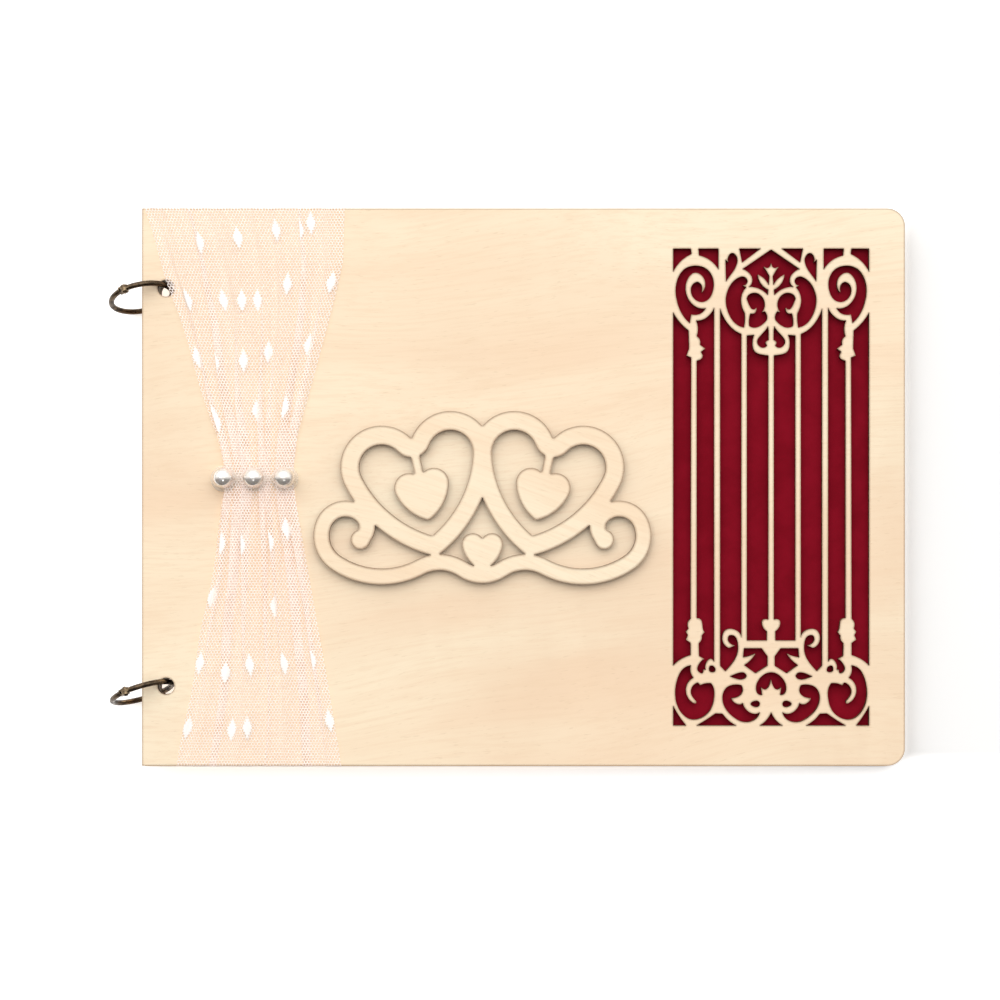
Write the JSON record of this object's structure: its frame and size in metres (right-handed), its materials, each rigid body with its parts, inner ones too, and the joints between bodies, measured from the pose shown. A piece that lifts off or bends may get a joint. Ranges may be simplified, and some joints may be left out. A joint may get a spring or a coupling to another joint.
{
  "type": "guest book",
  "caption": "Landscape guest book with plywood covers and card leaves on hinged book rings; pierced gate window, raised heart scrollwork, gathered tulle strip and pearls.",
  "frame": {"origin": "outer face of the back cover, under the middle of the front cover", "axes": "+X towards the fore edge, +Y towards the head of the page, +Z out of the front cover"},
  "size_m": [0.272, 0.1915, 0.0243],
  "materials": {
    "plywood": "matte",
    "crimson_card": "matte",
    "leaf_card": "matte",
    "tulle": "matte",
    "pearl": "gloss",
    "clear_glue": "gloss",
    "bronze": "satin"
  },
  "bodies": {
    "back_cover": {"back_cover": "plywood"},
    "front_cover": {"front_cover": "plywood", "window_card": "crimson_card", "heart_motif": "plywood", "tulle_drape": "tulle", "pearl_glue": "clear_glue", "pearl_left": "pearl", "pearl_middle": "pearl", "pearl_right": "pearl"},
    "upper_ring": {"upper_ring_inner_half": "bronze", "upper_ring_outer_half": "bronze", "upper_ring_rivet": "bronze"},
    "lower_ring": {"lower_ring_inner_half": "bronze", "lower_ring_outer_half": "bronze", "lower_ring_rivet": "bronze"},
    "leaf_01": {"leaf_01": "leaf_card"},
    "leaf_02": {"leaf_02": "leaf_card"},
    "leaf_03": {"leaf_03": "leaf_card"},
    "leaf_04": {"leaf_04": "leaf_card"},
    "leaf_05": {"leaf_05": "leaf_card"},
    "leaf_06": {"leaf_06": "leaf_card"},
    "leaf_07": {"leaf_07": "leaf_card"},
    "leaf_08": {"leaf_08": "leaf_card"},
    "leaf_09": {"leaf_09": "leaf_card"},
    "leaf_10": {"leaf_10": "leaf_card"},
    "leaf_11": {"leaf_11": "leaf_card"},
    "leaf_12": {"leaf_12": "leaf_card"},
    "leaf_13": {"leaf_13": "leaf_card"},
    "leaf_14": {"leaf_14": "leaf_card"},
    "leaf_15": {"leaf_15": "leaf_card"},
    "leaf_16": {"leaf_16": "leaf_card"}
  },
  "joints": [
    {"name": "cover_open", "type": "hinge", "parent": "back_cover", "child": "front_cover", "pos_m": [-0.1311, 0, 0.0053], "axis": [0, -1, 0], "range_deg": [0, 180]},
    {"name": "leaf_01_turn", "type": "hinge", "parent": "back_cover", "child": "leaf_01", "pos_m": [-0.1311, 0, 0.0053], "axis": [0, -1, 0], "range_deg": [0, 0.5]},
    {"name": "leaf_02_turn", "type": "hinge", "parent": "back_cover", "child": "leaf_02", "pos_m": [-0.1311, 0, 0.0053], "axis": [0, -1, 0], "range_deg": [0, 0.95]},
    {"name": "leaf_03_turn", "type": "hinge", "parent": "back_cover", "child": "leaf_03", "pos_m": [-0.1311, 0, 0.0053], "axis": [0, -1, 0], "range_deg": [0, 1.4]},
    {"name": "leaf_04_turn", "type": "hinge", "parent": "back_cover", "child": "leaf_04", "pos_m": [-0.1311, 0, 0.0053], "axis": [0, -1, 0], "range_deg": [0, 1.85]},
    {"name": "leaf_05_turn", "type": "hinge", "parent": "back_cover", "child": "leaf_05", "pos_m": [-0.1311, 0, 0.0053], "axis": [0, -1, 0], "range_deg": [0, 2.3]},
    {"name": "leaf_06_turn", "type": "hinge", "parent": "back_cover", "child": "leaf_06", "pos_m": [-0.1311, 0, 0.0053], "axis": [0, -1, 0], "range_deg": [0, 2.75]},
    {"name": "leaf_07_turn", "type": "hinge", "parent": "back_cover", "child": "leaf_07", "pos_m": [-0.1311, 0, 0.0053], "axis": [0, -1, 0], "range_deg": [0, 3.2]},
    {"name": "leaf_08_turn", "type": "hinge", "parent": "back_cover", "child": "leaf_08", "pos_m": [-0.1311, 0, 0.0053], "axis": [0, -1, 0], "range_deg": [0, 3.65]},
    {"name": "leaf_09_turn", "type": "hinge", "parent": "back_cover", "child": "leaf_09", "pos_m": [-0.1311, 0, 0.0053], "axis": [0, -1, 0], "range_deg": [0, 176.45]},
    {"name": "leaf_10_turn", "type": "hinge", "parent": "back_cover", "child": "leaf_10", "pos_m": [-0.1311, 0, 0.0053], "axis": [0, -1, 0], "range_deg": [0, 176.9]},
    {"name": "leaf_11_turn", "type": "hinge", "parent": "back_cover", "child": "leaf_11", "pos_m": [-0.1311, 0, 0.0053], "axis": [0, -1, 0], "range_deg": [0, 177.35]},
    {"name": "leaf_12_turn", "type": "hinge", "parent": "back_cover", "child": "leaf_12", "pos_m": [-0.1311, 0, 0.0053], "axis": [0, -1, 0], "range_deg": [0, 177.8]},
    {"name": "leaf_13_turn", "type": "hinge", "parent": "back_cover", "child": "leaf_13", "pos_m": [-0.1311, 0, 0.0053], "axis": [0, -1, 0], "range_deg": [0, 178.25]},
    {"name": "leaf_14_turn", "type": "hinge", "parent": "back_cover", "child": "leaf_14", "pos_m": [-0.1311, 0, 0.0053], "axis": [0, -1, 0], "range_deg": [0, 178.7]},
    {"name": "leaf_15_turn", "type": "hinge", "parent": "back_cover", "child": "leaf_15", "pos_m": [-0.1311, 0, 0.0053], "axis": [0, -1, 0], "range_deg": [0, 179.15]},
    {"name": "leaf_16_turn", "type": "hinge", "parent": "back_cover", "child": "leaf_16", "pos_m": [-0.1311, 0, 0.0053], "axis": [0, -1, 0], "range_deg": [0, 179.6]},
    {"name": "upper_ring_lean", "type": "hinge", "parent": "back_cover", "child": "upper_ring", "pos_m": [-0.1218, 0.06725, 0.0053], "axis": [0.8096, 0.0994, -0.5785], "range_deg": [0, 23.97]},
    {"name": "lower_ring_lean", "type": "hinge", "parent": "back_cover", "child": "lower_ring", "pos_m": [-0.1218, -0.06745, 0.0053], "axis": [0.6098, 0.0966, -0.7866], "range_deg": [0, 22.77]}
  ],
  "couplings": [
    {"joint": "leaf_01_turn", "follows": "cover_open", "ratio": 0.0025},
    {"joint": "leaf_02_turn", "follows": "cover_open", "ratio": 0.005},
    {"joint": "leaf_03_turn", "follows": "cover_open", "ratio": 0.0075},
    {"joint": "leaf_04_turn", "follows": "cover_open", "ratio": 0.01},
    {"joint": "leaf_05_turn", "follows": "cover_open", "ratio": 0.0125},
    {"joint": "leaf_06_turn", "follows": "cover_open", "ratio": 0.015},
    {"joint": "leaf_07_turn", "follows": "cover_open", "ratio": 0.0175},
    {"joint": "leaf_08_turn", "follows": "cover_open", "ratio": 0.02},
    {"joint": "leaf_09_turn", "follows": "cover_open", "ratio": 0.98},
    {"joint": "leaf_10_turn", "follows": "cover_open", "ratio": 0.9825},
    {"joint": "leaf_11_turn", "follows": "cover_open", "ratio": 0.985},
    {"joint": "leaf_12_turn", "follows": "cover_open", "ratio": 0.9875},
    {"joint": "leaf_13_turn", "follows": "cover_open", "ratio": 0.99},
    {"joint": "leaf_14_turn", "follows": "cover_open", "ratio": 0.9925},
    {"joint": "leaf_15_turn", "follows": "cover_open", "ratio": 0.995},
    {"joint": "leaf_16_turn", "follows": "cover_open", "ratio": 0.9975},
    {"joint": "upper_ring_lean", "follows": "cover_open", "ratio": 0.13314},
    {"joint": "lower_ring_lean", "follows": "cover_open", "ratio": 0.12649}
  ]
}
